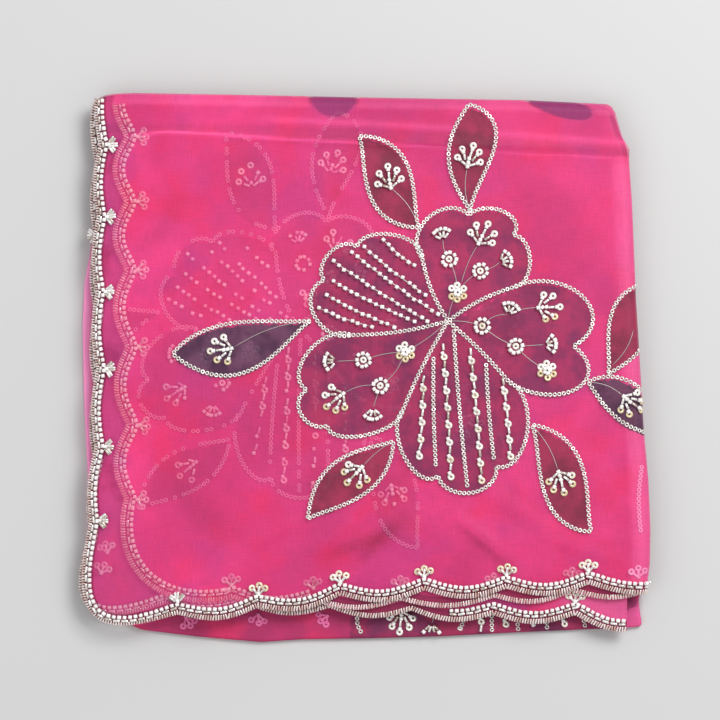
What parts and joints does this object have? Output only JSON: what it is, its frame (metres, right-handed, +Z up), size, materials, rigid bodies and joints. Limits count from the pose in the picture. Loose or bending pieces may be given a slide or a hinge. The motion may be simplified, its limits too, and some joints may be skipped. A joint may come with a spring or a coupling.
{
  "type": "folded dupatta stole",
  "caption": "Sheer organza dupatta stole with beaded scalloped edges, folded into a flat square packet lying on a surface.",
  "frame": {"origin": "middle of the packet's outline, at the surface it rests on", "axes": "+Z up from the surface, +Y towards the top fold, +X towards the right fold"},
  "size_m": [0.3063, 0.2944, 0.0168],
  "materials": {
    "organza": "sheer hot pink organza with a soft sheen and a printed plum flower",
    "shaded_organza": "the same organza where many layers lie over each other",
    "beaded_cord": "silver and pearl beads sewn over a wound cord"
  },
  "bodies": {
    "root": {"top_panel": "organza", "second_panel": "organza", "third_panel": "organza", "hidden_layers": "shaded_organza", "under_fold": "shaded_organza", "top_corded_edge": "beaded_cord", "second_corded_edge": "beaded_cord", "third_corded_edge": "beaded_cord"}
  },
  "joints": []
}
